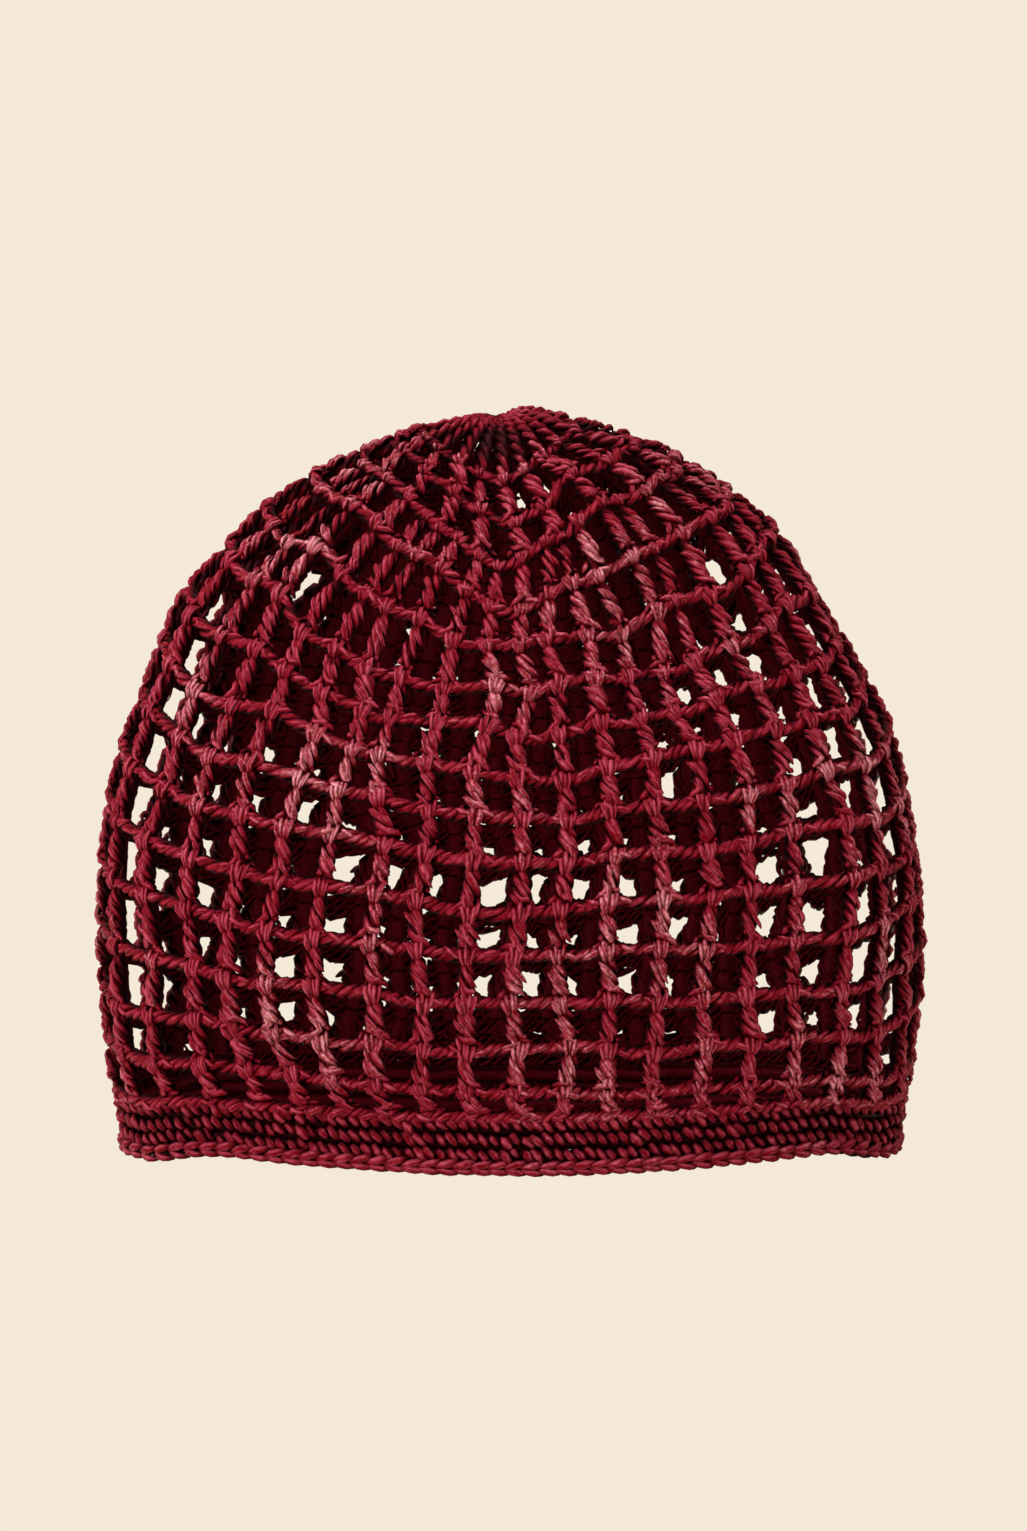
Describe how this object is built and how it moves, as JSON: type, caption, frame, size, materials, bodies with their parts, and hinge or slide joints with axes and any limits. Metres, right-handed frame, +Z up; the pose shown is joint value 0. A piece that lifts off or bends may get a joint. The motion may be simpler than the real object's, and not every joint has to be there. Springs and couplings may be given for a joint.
{
  "type": "crocheted mesh skull cap",
  "caption": "Close-fitting crocheted cap with an open square net, a tight ribbed band, a chain edging and a gathered top.",
  "frame": {"origin": "on the surface that the rim rests on, under the middle of the cap", "axes": "+Z up from the rim to the top, +X along the cap's width, +Y from its front to its back"},
  "size_m": [0.2248, 0.1359, 0.2046],
  "materials": {
    "net_yarn": "matt crocheted cotton yarn, worn paler in places",
    "band_yarn": "matt cotton yarn in tight crocheted rounds"
  },
  "bodies": {
    "root": {"edging": "band_yarn", "headband": "band_yarn", "lower_net": "net_yarn", "middle_net": "net_yarn", "upper_net": "net_yarn", "crown_gather": "net_yarn"}
  },
  "joints": []
}
